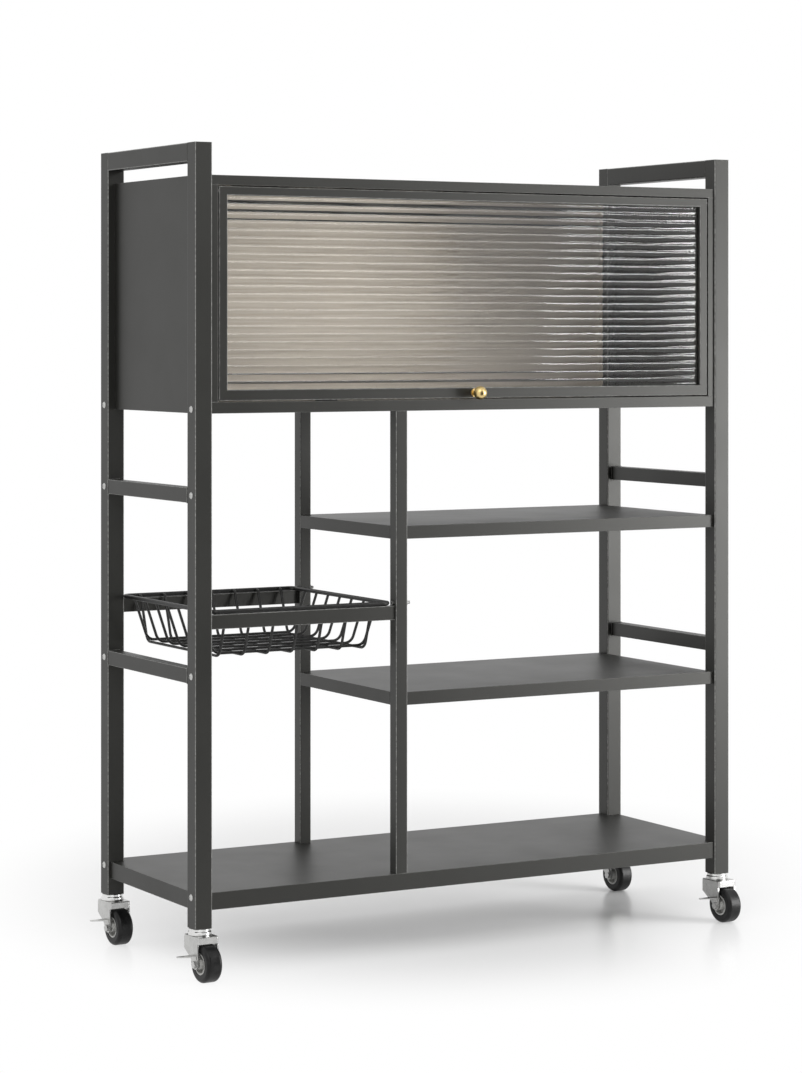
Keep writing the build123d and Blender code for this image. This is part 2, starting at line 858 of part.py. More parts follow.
with BuildPart() as basket_bolts:
    for x, y in mid_post_centres:
        far = mid_x + mid_post_size
        rod_along_x(rim_right + rim_radius + stop_gap, far + basket_bolt_end, y, rim_z, bolt_radius)
        add(nut_along_x(far, far + nut_height, y, rim_z, nut_across_flats))
save(basket_bolts.part, "basket_bolts")


# Frame bolts: dome heads on the outer faces of the corner posts, and nuts inside the trays.
def dome_bolt(face, inward, y, z, length):
    """A dome head on the face, with its shank running inwards."""
    dome_radius = (bolt_head_radius**2 + bolt_head_height**2) / (2 * bolt_head_height)
    with BuildPart() as bolt:
        with BuildSketch(Plane.XZ):
            with BuildLine():
                Line((0, 0), (bolt_head_radius, 0))
                RadiusArc((bolt_head_radius, 0), (0, bolt_head_height), -dome_radius)
                Line((0, bolt_head_height), (0, 0))
            make_face()
        revolve(axis=Axis.Z)
        with Locations((0, 0, -length / 2)):
            Cylinder(bolt_radius, length)
    turned = -90 if inward > 0 else 90
    return bolt.part.moved(Location((face, y, z), (0, turned, 0)))


long_bolt = post_size + post_gap + shelf_sheet + nut_height + bolt_end
frame_bolt_places = [(z, long_bolt) for z in long_bolt_heights]
frame_bolt_places += [(z, short_bolt_depth) for z in short_bolt_heights]
with BuildPart() as frame_bolts:
    bolts = []
    for corner, (post_x, post_y) in corners.items():
        inward = 1 if "left" in corner else -1
        face = post_x - inward * post_size / 2
        for z, length in frame_bolt_places:
            bolts.append(dome_bolt(face, inward, post_y, z, length))
    add(bolts)
save(frame_bolts.part, "frame_bolts")

with BuildPart() as frame_nuts:
    nuts = []
    for corner, (post_x, post_y) in corners.items():
        inward = 1 if "left" in corner else -1
        inner = post_x + inward * post_size / 2
        for z, sheet in zip(long_bolt_heights, (panel_sheet, shelf_sheet)):
            start = inner + inward * (post_gap + sheet)
            nuts.append(nut_along_x(start, start + inward * nut_height, post_y, z, nut_across_flats))
    add(nuts)
    for post_x, post_y in corners.values():
        for z in long_bolt_heights:
            rod_along_x(
                post_x - 2 * post_size, post_x + 2 * post_size, post_y, z, bolt_radius, Mode.SUBTRACT
            )
save(frame_nuts.part, "frame_nuts")

# Bolts up and down into the inner posts' end plates, and screws through the side shelves' flanges.
with BuildPart() as inner_fixings:
    for x, y in mid_post_centres:
        for plate, sheet, outward in (
            (bottom_shelf_top, shelf_sheet, -1),
            (cabinet_bottom, panel_sheet, 1),
        ):
            head = plate + outward * sheet
            tip = plate - outward * (end_plate + bolt_end)
            with Locations((x, y, (head + tip) / 2)):
                Cylinder(bolt_radius, abs(head - tip))
            with Locations((x, y, head + outward * bolt_head_height / 2)):
                Cylinder(bolt_head_radius, bolt_head_height)
    for z in shelf_screw_heights:
        for x, y in mid_post_centres:
            seat = mid_x + mid_post_size + post_gap + shelf_sheet
            rod_along_x(seat - screw_depth, seat, y, z, screw_radius)
            rod_along_x(seat, seat + screw_head_height, y, z, screw_head_radius)
        for y in (front + post_size / 2, rear - post_size / 2):
            seat = inner_right - shelf_sheet
            rod_along_x(seat, seat + screw_depth, y, z, screw_radius)
            rod_along_x(seat - screw_head_height, seat, y, z, screw_head_radius)
save(inner_fixings.part, "inner_fixings")

# Caster sockets pressed into the feet of the posts.
with BuildPart() as caster_sockets:
    for x, y in corners.values():
        inner = post_size - 2 * post_wall
        with BuildSketch(Plane.XY.offset(base)):
            with Locations((x, y)):
                RectangleRounded(inner, inner, post_corner / 2)
                Circle(stem_radius, mode=Mode.SUBTRACT)
        extrude(amount=socket_length)
save(caster_sockets.part, "caster_sockets")


# One caster, about its own stem: the wheel trails to -Y and stands on Z = 0.
def caster_mount():
    """Stem, upper race and king pin, which stay still while the yoke swivels."""
    race_bottom = yoke_top + race_gap
    head_top = yoke_top - yoke_plate - race_gap
    lip_level = race_bottom + race_lip_height
    with BuildPart() as mount:
        with BuildSketch(Plane.XZ):
            with BuildLine():
                Polyline(
                    (0, head_top - king_pin_head_height),
                    (king_pin_head_radius, head_top - king_pin_head_height),
                    (king_pin_head_radius, head_top),
                    (king_pin_radius, head_top),
                    (king_pin_radius, race_bottom),
                    (race_radius, race_bottom),
                    (race_radius, lip_level),
                    (race_lip_radius, lip_level + race_slope),
                    (race_lip_radius, base),
                    (stem_radius, base),
                    (stem_radius, base + stem_length),
                    (0, base + stem_length),
                    close=True,
                )
            make_face()
        revolve(axis=Axis.Z)
        circles = mount.edges().filter_by(GeomType.CIRCLE)
        fillet(circles.filter_by(lambda edge: edge.radius > king_pin_head_radius + race_edge), race_edge)
    return mount.part


def caster_yoke():
    """Pressed yoke: a top plate with a skirt and two tapering legs with the axle's holes."""
    leg_inner = leg_outer - leg_thickness
    leg_front = -yoke_front + leg_front_inset
    leg_back = yoke_back - leg_back_inset
    with BuildPart() as yoke:
        box_between(-leg_outer, leg_outer, -yoke_front, yoke_back, yoke_top - yoke_skirt, yoke_top)
        fillet(yoke.edges().filter_by(Axis.Z), yoke_corner)
        fillet(yoke.faces().sort_by(Axis.Z)[-1].edges(), yoke_edge)
        box_between(
            -leg_inner,
            leg_inner,
            -yoke_front + leg_thickness,
            yoke_back - leg_thickness,
            yoke_top - yoke_skirt,
            yoke_top - yoke_plate,
            Mode.SUBTRACT,
        )
        for sign in (-1, 1):
            with BuildSketch(Plane.YZ.offset(sign * leg_outer - (leg_thickness if sign > 0 else 0))):
                with BuildLine():
                    foot = -caster_trail
                    Polyline(
                        (foot - leg_foot_radius, wheel_radius),
                        (leg_front, yoke_top - yoke_skirt),
                        (leg_front, yoke_top - yoke_plate),
                        (leg_back, yoke_top - yoke_plate),
                        (leg_back, wheel_radius + leg_shoulder),
                        (foot + leg_foot_radius, wheel_radius),
                    )
                    ThreePointArc(
                        (foot + leg_foot_radius, wheel_radius),
                        (foot, wheel_radius - leg_foot_radius),
                        (foot - leg_foot_radius, wheel_radius),
                    )
                make_face()
            extrude(amount=leg_thickness)
        with Locations((0, 0, yoke_top)):
            Cylinder(king_pin_radius + king_pin_clearance, 4 * yoke_plate, mode=Mode.SUBTRACT)
        rod_along_x(-leg_outer, leg_outer, -caster_trail, wheel_radius, axle_radius, Mode.SUBTRACT)
    return yoke.part


def caster_axle():
    """Axle bolt with its head on the lever's side and a nut on the other."""
    head = -(lever_outer + lever_gap)
    nut = nut_along_x(leg_outer, leg_outer + axle_nut_height, -caster_trail, wheel_radius, axle_across_flats)
    cap = nut_along_x(head - axle_head_height, head, -caster_trail, wheel_radius, axle_across_flats)
    with BuildPart() as axle:
        rod_along_x(head, leg_outer + axle_nut_height + axle_end, -caster_trail, wheel_radius, axle_radius)
        add([nut, cap])
    return axle.part


def caster_hub():
    """Moulded hub: an outer rim, a thin web and a boss that reaches both legs."""
    half = wheel_width / 2 - hub_rim_inset
    with BuildPart() as hub:
        with BuildSketch(Plane.XZ):
            with BuildLine():
                Polyline(
                    (axle_radius + axle_clearance, -hub_length / 2),
                    (hub_boss_radius, -hub_length / 2),
                    (hub_boss_radius + hub_taper, -hub_web / 2),
                    (hub_radius - hub_rim, -hub_web / 2),
                    (hub_radius - hub_rim, -half),
                    (hub_radius, -half),
                    (hub_radius, half),
                    (hub_radius - hub_rim, half),
                    (hub_radius - hub_rim, hub_web / 2),
                    (hub_boss_radius + hub_taper, hub_web / 2),
                    (hub_boss_radius, hub_length / 2),
                    (axle_radius + axle_clearance, hub_length / 2),
                    close=True,
                )
            make_face()
        revolve(axis=Axis.Z)
    return hub.part.moved(Location((0, -caster_trail, wheel_radius), (0, 90, 0)))


def caster_tyre():
    """Solid tyre with a flat tread and rounded shoulders."""
    with BuildPart() as tyre:
        with BuildSketch(Plane.XZ):
            with Locations(((hub_radius + wheel_radius) / 2, 0)):
                Rectangle(wheel_radius - hub_radius, wheel_width)
        revolve(axis=Axis.Z)
        tread_middle = (hub_radius + wheel_radius) / 2
        circles = tyre.edges().filter_by(GeomType.CIRCLE)
        fillet(circles.filter_by(lambda edge: edge.radius > tread_middle), tyre_shoulder)
        circles = tyre.edges().filter_by(GeomType.CIRCLE)
        chamfer(circles.filter_by(lambda edge: edge.radius < hub_radius + tyre_bevel / 2), tyre_bevel)
    return tyre.part.moved(Location((0, -caster_trail, wheel_radius), (0, 90, 0)))


def brake_lever():
    """Side lever on the axle, with a pointed tab turned outwards above the axle.

    The tab's rear edge is straight and its front edge slants back to the tip.
    """
    inner = -(leg_outer + lever_gap)
    outer = -lever_outer
    tab_low = wheel_radius + lever_lift
    tab_front = -caster_trail + lever_arm_back - lever_root_width
    tab_back = -caster_trail + lever_arm_back
    with BuildPart() as lever:
        with BuildSketch(Plane.YZ.offset(outer)):
            with BuildLine():
                Polyline(
                    (-caster_trail - lever_eye_radius, wheel_radius),
                    (tab_front, tab_low + lever_thickness),
                    (tab_back, tab_low + lever_thickness),
                    (tab_back, tab_low - lever_thickness),
                    (-caster_trail + lever_eye_radius, wheel_radius),
                )
                ThreePointArc(
                    (-caster_trail + lever_eye_radius, wheel_radius),
                    (-caster_trail, wheel_radius - lever_eye_radius),
                    (-caster_trail - lever_eye_radius, wheel_radius),
                )
            make_face()
        extrude(amount=lever_thickness)
        with BuildSketch(Plane.XY.offset(tab_low)):
            with BuildLine():
                Polyline(
                    (inner, tab_front),
                    (outer, tab_front),
                    (-lever_tip, tab_back - lever_tip_width),
                    (-lever_tip, tab_back),
                    (outer, tab_back),
                    (inner, tab_back),
                    close=True,
                )
            make_face()
        extrude(amount=lever_thickness)
        rod_along_x(
            -lever_outer, inner, -caster_trail, wheel_radius, axle_radius + axle_clearance, Mode.SUBTRACT
        )
    return lever.part


mount = caster_mount()
with BuildPart() as caster_mounts:
    add([mount.moved(Location((x, y, 0))) for x, y in corners.values()])
save(caster_mounts.part, "caster_mounts")

caster_pieces = {
    "caster_yoke": caster_yoke(),
    "caster_axle": caster_axle(),
    "wheel_hub": caster_hub(),
    "wheel_tyre": caster_tyre(),
    "brake_lever": brake_lever(),
}
for corner, (post_x, post_y) in corners.items():
    place = Location((post_x, post_y, 0), (0, 0, caster_turn))
    for name, piece in caster_pieces.items():
        save(piece.moved(place), name + "_" + corner)
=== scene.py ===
import bmesh
import bpy
import json
from math import cos, pi, radians, sin
from mathutils import Matrix, Vector

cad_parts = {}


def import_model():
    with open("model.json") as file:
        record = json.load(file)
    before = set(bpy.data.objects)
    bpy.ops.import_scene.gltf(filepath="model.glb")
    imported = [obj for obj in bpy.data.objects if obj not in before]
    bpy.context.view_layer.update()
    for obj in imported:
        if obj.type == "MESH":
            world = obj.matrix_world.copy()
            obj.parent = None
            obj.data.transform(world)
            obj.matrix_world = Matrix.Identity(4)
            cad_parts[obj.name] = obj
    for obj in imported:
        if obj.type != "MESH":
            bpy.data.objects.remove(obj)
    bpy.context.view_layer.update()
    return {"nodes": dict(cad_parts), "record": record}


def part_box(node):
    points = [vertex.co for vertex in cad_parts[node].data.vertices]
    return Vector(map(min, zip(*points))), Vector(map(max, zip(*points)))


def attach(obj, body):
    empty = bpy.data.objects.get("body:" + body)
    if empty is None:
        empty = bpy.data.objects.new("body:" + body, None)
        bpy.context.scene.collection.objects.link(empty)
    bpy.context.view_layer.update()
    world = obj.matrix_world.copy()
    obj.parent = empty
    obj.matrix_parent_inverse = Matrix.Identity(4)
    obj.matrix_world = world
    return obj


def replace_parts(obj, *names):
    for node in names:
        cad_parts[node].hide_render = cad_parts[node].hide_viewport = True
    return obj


# Kitchen cart: finishes, small details, floor, lamps and camera. Metres, in the frame of the solids.

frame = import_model()
nodes = frame["nodes"]

# Camera: its place is measured from the foot of the front left post
image_height = 1073
focal_pixels = 3010.8
horizon_row = 334.1
camera_yaw = 29.40
camera_offset = Vector((-2.389, -5.006, 1.0958))
sensor_size = 36.0
camera_shift = 0.0011

# Colours, linear red, green and blue
coat_colour = (0.012, 0.012, 0.0105)
coat_shine_tint = (1.0, 0.995, 0.96)
# Lighter colour along the coat's edges: partly wear, partly a painted highlight
coat_edge_wear_and_highlight = (0.33, 0.33, 0.32)
taupe_colour = (0.47, 0.40, 0.33)
# Lighter colour along the taupe panel's edges: partly wear, partly a painted highlight
taupe_edge_wear_and_highlight = (0.50, 0.46, 0.41)
wire_colour = (0.008, 0.008, 0.008)
# Lighter colour along the wire's edges: partly wear, partly a painted highlight
wire_edge_wear_and_highlight = (0.05, 0.05, 0.05)
zinc_colour = (0.62, 0.62, 0.61)
zinc_dark_colour = (0.40, 0.40, 0.39)
bright_colour = (0.82, 0.82, 0.81)
brass_colour = (0.86, 0.68, 0.33)
brass_dark_colour = (0.62, 0.43, 0.16)
tyre_colour = (0.006, 0.006, 0.006)
tyre_dust_colour = (0.020, 0.020, 0.020)
plastic_dust_colour = (0.070, 0.070, 0.068)
hub_colour = (0.52, 0.52, 0.50)
hub_dark_colour = (0.36, 0.36, 0.35)
black_plastic_colour = (0.022, 0.022, 0.022)
glass_tint = (0.97, 0.985, 0.98)
glass_streak = (0.86, 0.86, 0.855)
floor_colour = (0.96, 0.96, 0.96)
card_colour = (0.004, 0.004, 0.004)
white = (1.0, 1.0, 1.0)
mottle_lift = 1.25
floor_mottle = 0.985

# Fineness of each pattern, in waves to a metre
peel_scale = 900.0
mottle_scale = 9.0
scuff_scale = 160.0
zinc_grain = 700.0
bright_grain = 500.0
grain_stretch = 12
stain_scale = 70.0
turning_scale = (140.0, 2600.0, 140.0)
brass_tone_scale = 60.0
moulded_scale = 1500.0
dust_scale = 55.0
smear_scale = 14.0
streak_scale = (5.0, 1.0, 260.0)
floor_tone_scale = 0.8
card_tone_scale = 4.0

# The part of a noise's values over which it takes effect
noise_middle = (0.3, 0.7)
scuff_window = (0.42, 0.62)
dust_window = (0.45, 0.75)
smear_window = (0.35, 0.75)
streak_window = (0.42, 0.68)

# Roughness, whole or as the spread round a finish's own gloss
coat_spread = (-0.015, 0.025)
plating_spread = (-0.06, 0.10)
moulded_spread = (-0.05, 0.08)
brass_roughness = (0.24, 0.36)
glass_roughness = (0.015, 0.04)
floor_roughness = (0.20, 0.26)
card_roughness = (0.85, 0.95)

# Height of each relief, and radius of the edges that it runs over
peel_height = 0.00006
plating_height = 0.00003
turning_height = 0.00002
moulded_height = 0.00005
plated_edge = 0.0005
brass_edge = 0.0003
moulded_edge = 0.0006

# Lighter colour along edges, partly wear and partly a painted highlight, by how far the normals there turn
# away from the faces beside them
whole = (0.0, 1.0)
sharp_edge_window = (0.995, 0.86)
sharp_edge_wear_and_highlight = (0.0, 0.5)
rounded_edge_window = (0.98, 0.85)
scuff_share = (0.4, 1.0)
mask_samples = 4
rounding_samples = 6

# Glass and floor
glass_index = 1.46
floor_shine = 0.35
floor_size = 60.0
floor_offset = Vector((0.903, 0.714, 0.0))
floor_reach = (1.05, 1.35, 1.0)
floor_fade = 0.45

# Bolts and welds
head_radius = 0.0065
head_height = 0.0035
dome_shares = (0.85, 0.65, 0.45)
socket_radius = 0.0023
socket_depth = 0.0018
socket_corners = 6
shank_radius = 0.0030
short_shank = 0.014
long_shank = 0.044
head_segments = 24
sharp_angle = 35
weld_radius = 0.0011
weld_resolution = 2

# Lamps: place, the point that each faces, width and height, and power in watts
world_light = 0.72
lamp_rows = {
    "key_lamp": {"place": (-2.2, -2.6, 3.4), "aim": (0.0, 0.0, 0.7), "size": (2.4, 2.4), "power": 30.0},
    "side_lamp": {"place": (2.72, -2.2, 0.78), "aim": (0.55, -0.2, 0.70), "size": (1.2, 1.5), "power": 84.0},
    "reed_lamp": {"place": (2.33, -2.6, 2.40), "aim": (0.4, -0.2, 1.28), "size": (0.8, 0.3), "power": 9.0},
    "reed_fill": {"place": (1.30, -2.6, 2.40), "aim": (0.0, -0.2, 1.28), "size": (1.3, 0.3), "power": 5.0},
}

# Dark cards in front of the cart: the reeds mirror one, the front faces at the left the other
card_y = -1.40
card_rows = {
    "reed_card": {"left": 1.05, "right": 1.37, "top": 1.09},
    "left_card": {"left": -0.55, "right": 0.70, "top": 1.65},
}


class Material:
    """A node material under construction: adds nodes and links by name."""

    def __init__(self, name):
        self.material = bpy.data.materials.new(name)
        self.material.use_nodes = True
        self.tree = self.material.node_tree
        self.shader = self.tree.nodes["Principled BSDF"]
        self.output = self.tree.nodes["Material Output"]
        self.place = self.node("ShaderNodeTexCoord").outputs["Object"]

    def node(self, kind, **settings):
        made = self.tree.nodes.new(kind)
        for name, value in settings.items():
            setattr(made, name, value)
        return made

    def link(self, start, end):
        self.tree.links.new(start, end)

    def set(self, **values):
        for name, value in values.items():
            self.shader.inputs[name.replace("_", " ")].default_value = value

    def colour(self, source):
        self.link(source, self.shader.inputs["Base Color"])

    def roughness(self, noise, window, low, high):
        self.link(self.ranged(noise, window, (low, high)), self.shader.inputs["Roughness"])

    def stretched(self, scale):
        """The object's own coordinates, scaled along each axis."""
        mapping = self.node("ShaderNodeMapping")
        mapping.inputs["Scale"].default_value = scale
        self.link(self.place, mapping.inputs["Vector"])
        return mapping.outputs["Vector"]

    def noise(self, scale, detail=3.0, roughness=0.55):
        """Noise of one scale, or of one scale along each axis."""
        texture = self.node("ShaderNodeTexNoise")
        texture.inputs["Detail"].default_value = detail
        texture.inputs["Roughness"].default_value = roughness
        if isinstance(scale, tuple):
            texture.inputs["Scale"].default_value = 1.0
            self.link(self.stretched(scale), texture.inputs["Vector"])
        else:
            texture.inputs["Scale"].default_value = scale
            self.link(self.place, texture.inputs["Vector"])
        return texture.outputs["Fac"]

    def ranged(self, value, window, result):
        """A value that runs over a window, spread over a range."""
        mapped = self.node("ShaderNodeMapRange")
        mapped.inputs["From Min"].default_value = window[0]
        mapped.inputs["From Max"].default_value = window[1]
        mapped.inputs["To Min"].default_value = result[0]
        mapped.inputs["To Max"].default_value = result[1]
        self.link(value, mapped.inputs["Value"])
        return mapped.outputs["Result"]

    def mixed(self, factor, first, second):
        """A colour between two, each a colour or another node's output."""
        mix = self.node("ShaderNodeMix", data_type="RGBA")
        self.link(factor, mix.inputs["Factor"])
        for value, socket in ((first, mix.inputs["A"]), (second, mix.inputs["B"])):
            if isinstance(value, tuple):
                socket.default_value = (*value, 1.0)
            else:
                self.link(value, socket)
        return mix.outputs["Result"]

    def combined(self, operation, first, second):
        joined = self.node("ShaderNodeMath", operation=operation)
        self.link(first, joined.inputs[0])
        self.link(second, joined.inputs[1])
        return joined.outputs["Value"]

    def blended(self, factor, first, second):
        """Shows the first shader where the factor is 0 and the second where it is 1."""
        blend = self.node("ShaderNodeMixShader")
        self.link(factor, blend.inputs["Fac"])
        self.link(first, blend.inputs[1])
        self.link(second, blend.inputs[2])
        self.link(blend.outputs["Shader"], self.output.inputs["Surface"])

    def rounded_normal(self, radius, samples):
        rounded = self.node("ShaderNodeBevel", samples=samples)
        rounded.inputs["Radius"].default_value = radius
        return rounded.outputs["Normal"]

    def sharp_edge_mask(self, radius):
        """0 on flat faces, rising to a half near a sharp edge, as if rounded by this radius."""
        dot = self.node("ShaderNodeVectorMath", operation="DOT_PRODUCT")
        self.link(self.rounded_normal(radius, mask_samples), dot.inputs[0])
        self.link(self.node("ShaderNodeNewGeometry").outputs["Normal"], dot.inputs[1])
        return self.ranged(dot.outputs["Value"], sharp_edge_window, sharp_edge_wear_and_highlight)

    def rounded_edge_mask(self):
        """0 on faces square to the object's axes, rising to 1 along the rounded edges between them."""
        facing = self.node("ShaderNodeVectorMath", operation="ABSOLUTE")
        self.link(self.node("ShaderNodeTexCoord").outputs["Normal"], facing.inputs[0])
        parts = self.node("ShaderNodeSeparateXYZ")
        self.link(facing.outputs["Vector"], parts.inputs["Vector"])
        largest = self.combined("MAXIMUM", parts.outputs["X"], parts.outputs["Y"])
        largest = self.combined("MAXIMUM", largest, parts.outputs["Z"])
        return self.ranged(largest, rounded_edge_window, whole)

    def bump(self, height, distance, strength, rounding):
        """Raises the surface by a height map, over edges that are rounded by this radius."""
        raised = self.node("ShaderNodeBump")
        raised.inputs["Distance"].default_value = distance
        raised.inputs["Strength"].default_value = strength
        self.link(height, raised.inputs["Height"])
        self.link(self.rounded_normal(rounding, rounding_samples), raised.inputs["Normal"])
        self.link(raised.outputs["Normal"], self.shader.inputs["Normal"])


def coated_steel(name, colour, edge_wear_and_highlight, gloss, rounding, shine=0.3):
    """Powder coat: fine orange peel, faint mottling, and a lighter colour along the edges that is partly
    wear of a thinner coat and partly a painted highlight.
    """
    made = Material(name)
    peel = made.noise(peel_scale, detail=2.0)
    mottle = made.noise(mottle_scale, detail=4.0)
    scuffs = made.noise(scuff_scale, detail=5.0, roughness=0.7)
    edges = made.combined("MAXIMUM", made.sharp_edge_mask(rounding), made.rounded_edge_mask())
    edge_wear_and_highlight_mask = made.combined("MULTIPLY", edges, made.ranged(scuffs, scuff_window, scuff_share))
    lighter = tuple(channel * mottle_lift for channel in colour)
    # The lighter edge colour, patchy by the scuffs, is partly wear and partly a painted highlight
    made.colour(made.mixed(edge_wear_and_highlight_mask, made.mixed(mottle, colour, lighter), edge_wear_and_highlight))
    made.roughness(mottle, noise_middle, gloss + coat_spread[0], gloss + coat_spread[1])
    made.set(Specular_IOR_Level=shine, Specular_Tint=(*coat_shine_tint, 1.0))
    made.bump(peel, peel_height, strength=0.35, rounding=rounding)
    return made.material


def plated_steel(name, colour, dark, gloss, grain):
    """Plated metal: drawn grain, faint stains and polished edges."""
    made = Material(name)
    drawn = made.noise((grain, grain, grain / grain_stretch), detail=4.0)
    stain = made.noise(stain_scale, detail=4.0, roughness=0.65)
    made.colour(made.mixed(stain, dark, colour))
    made.roughness(drawn, noise_middle, gloss + plating_spread[0], gloss + plating_spread[1])
    made.set(Metallic=1.0)
    made.bump(drawn, plating_height, strength=0.3, rounding=plated_edge)
    return made.material


def turned_brass(name):
    """Satin brass with turning marks and a darker tone in patches."""
    made = Material(name)
    rings = made.noise(turning_scale)
    made.colour(made.mixed(made.noise(brass_tone_scale), brass_dark_colour, brass_colour))
    made.roughness(rings, noise_middle, *brass_roughness)
    made.set(Metallic=1.0)
    made.bump(rings, turning_height, strength=0.25, rounding=brass_edge)
    return made.material


def moulded(name, colour, dusty, gloss, shine=0.5):
    """Moulded plastic or rubber with a fine grain and patches of dust."""
    made = Material(name)
    grain = made.noise(moulded_scale, detail=2.0)
    dust = made.noise(dust_scale, detail=5.0, roughness=0.7)
    made.colour(made.mixed(made.ranged(dust, dust_window, whole), colour, dusty))
    made.roughness(dust, noise_middle, gloss + moulded_spread[0], gloss + moulded_spread[1])
    made.set(Specular_IOR_Level=shine)
    made.bump(grain, moulded_height, strength=0.4, rounding=moulded_edge)
    return made.material


def reeded_glass(name):
    """Rolled glass with fine streaks along its reeds; it lets lamp light through to what is behind it."""
    made = Material(name)
    smears = made.noise(smear_scale, detail=4.0, roughness=0.6)
    streaks = made.noise(streak_scale, detail=4.0, roughness=0.6)
    made.colour(made.mixed(made.ranged(streaks, streak_window, whole), glass_tint, glass_streak))
    made.roughness(smears, smear_window, *glass_roughness)
    made.set(Transmission_Weight=1.0, IOR=glass_index)
    clear = made.node("ShaderNodeBsdfTransparent")
    clear.inputs["Color"].default_value = (*glass_tint, 1.0)
    path = made.node("ShaderNodeLightPath")
    made.blended(path.outputs["Is Shadow Ray"], made.shader.outputs["BSDF"], clear.outputs["BSDF"])
    return made.material


def away_from_cart(made):
    """0 on the floor round the cart, rising smoothly to 1 where the backdrop takes over."""
    scaled = made.node("ShaderNodeVectorMath", operation="DIVIDE")
    scaled.inputs[1].default_value = floor_reach
    made.link(made.place, scaled.inputs[0])
    distance = made.node("ShaderNodeVectorMath", operation="LENGTH")
    made.link(scaled.outputs["Vector"], distance.inputs[0])
    fade = made.node("ShaderNodeMapRange", interpolation_type="SMOOTHSTEP")
    fade.inputs["From Min"].default_value = floor_fade
    fade.inputs["From Max"].default_value = 1.0
    made.link(distance.outputs["Value"], fade.inputs["Value"])
    return fade.outputs["Result"]


def pale_floor(name):
    """Pale studio floor with a faint sheen that fades into the white backdrop away from the cart."""
    made = Material(name)
    tone = made.noise(floor_tone_scale, detail=2.0)
    darker = tuple(channel * floor_mottle for channel in floor_colour)
    made.colour(made.mixed(tone, darker, floor_colour))
    made.roughness(tone, noise_middle, *floor_roughness)
    made.set(Specular_IOR_Level=floor_shine)
    path = made.node("ShaderNodeLightPath")
    seen = path.outputs["Is Camera Ray"]
    for kind in ("Is Glossy Ray", "Is Transmission Ray"):
        seen = made.combined("MAXIMUM", seen, path.outputs[kind])
    backdrop = made.node("ShaderNodeEmission")
    backdrop.inputs["Color"].default_value = (*white, 1.0)
    share = made.combined("MULTIPLY", seen, away_from_cart(made))
    made.blended(share, made.shader.outputs["BSDF"], backdrop.outputs["Emission"])
    return made.material


def matt_card(name):
    """Black card with a barely uneven matt face."""
    made = Material(name)
    made.roughness(made.noise(card_tone_scale), noise_middle, *card_roughness)
    made.set(Base_Color=(*card_colour, 1.0), Specular_IOR_Level=0.0)
    return made.material


materials = {
    "grey_steel": coated_steel(
        "grey_steel", coat_colour, coat_edge_wear_and_highlight, gloss=0.42, rounding=0.0018, shine=0.45
    ),
    "taupe_panel": coated_steel(
        "taupe_panel", taupe_colour, taupe_edge_wear_and_highlight, gloss=0.45, rounding=0.0008
    ),
    "black_wire": coated_steel(
        "black_wire", wire_colour, wire_edge_wear_and_highlight, gloss=0.38, rounding=0.0004
    ),
    "reeded_glass": reeded_glass("reeded_glass"),
    "brass": turned_brass("brass"),
    "zinc": plated_steel("zinc", zinc_colour, zinc_dark_colour, gloss=0.30, grain=zinc_grain),
    "bright_steel": plated_steel(
        "bright_steel", bright_colour, zinc_colour, gloss=0.16, grain=bright_grain
    ),
    "tyre": moulded("tyre", tyre_colour, tyre_dust_colour, gloss=0.34, shine=0.25),
    "hub_plastic": moulded("hub_plastic", hub_colour, hub_dark_colour, gloss=0.45),
    "black_plastic": moulded(
        "black_plastic", black_plastic_colour, plastic_dust_colour, gloss=0.48
    ),
    "catch_plastic": moulded(
        "catch_plastic", black_plastic_colour, plastic_dust_colour, gloss=0.40
    ),
}


def dress(piece, name):
    piece.data.materials.clear()
    piece.data.materials.append(materials[name])


def dress_solids():
    for entry in frame["record"]["subparts"]:
        dress(nodes[entry["node"]], entry["material_slot"])


def on_body(name, mesh_or_curve, material, body):
    """A new piece with its material, riding on a body."""
    piece = bpy.data.objects.new(name, mesh_or_curve)
    bpy.context.scene.collection.objects.link(piece)
    dress(piece, material)
    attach(piece, body)
    return piece


def ring(builder, radius, height, corners=0):
    """One loop of vertices round Z: a circle, or a polygon with this many corners."""
    made = []
    for k in range(head_segments):
        angle = 2 * pi * k / head_segments
        reach = radius
        if corners:
            sector = (angle + pi / corners) % (2 * pi / corners) - pi / corners
            reach = radius * cos(pi / corners) / cos(sector)
        made.append(builder.verts.new((reach * cos(angle), reach * sin(angle), height)))
    return made


def bridge(builder, first, second):
    for k in range(len(first)):
        follow = (k + 1) % len(first)
        builder.faces.new((first[k], first[follow], second[follow], second[k]))


def dome_height(radius):
    """Height of the domed head over the post's face, at this distance from its middle."""
    dome_radius = (head_radius**2 + head_height**2) / (2 * head_height)
    return head_height - dome_radius + (dome_radius**2 - radius**2) ** 0.5


def add_bolt(builder, shank_length, place):
    """A dome head with a hexagon socket and a plain shank, turned and moved to its place."""
    made = bmesh.new()
    loops = [
        ring(made, shank_radius, -shank_length),
        ring(made, shank_radius, 0.0),
        ring(made, head_radius, 0.0),
    ]
    for share in dome_shares:
        radius = head_radius * share
        loops.append(ring(made, radius, dome_height(radius)))
    loops.append(ring(made, socket_radius, dome_height(socket_radius), socket_corners))
    loops.append(ring(made, socket_radius, head_height - socket_depth, socket_corners))
    for first, second in zip(loops, loops[1:]):
        bridge(made, first, second)
    made.faces.new(loops[-1])
    made.faces.new(list(reversed(loops[0])))
    made.transform(place)
    mesh = bpy.data.meshes.new("bolt")
    made.to_mesh(mesh)
    made.free()
    builder.from_mesh(mesh)
    bpy.data.meshes.remove(mesh)


def middle(node, axis):
    low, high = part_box(node)
    return (low[axis] + high[axis]) / 2


def bolt_levels():
    """The heights of a post's four bolts and the lengths of their shanks."""
    low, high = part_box("frame_bolts")
    return [
        (high[2] - head_radius, long_shank),
        (middle("crossbar_upper_left", 2), short_shank),
        (middle("crossbar_lower_left", 2), short_shank),
        (low[2] + head_radius, long_shank),
    ]


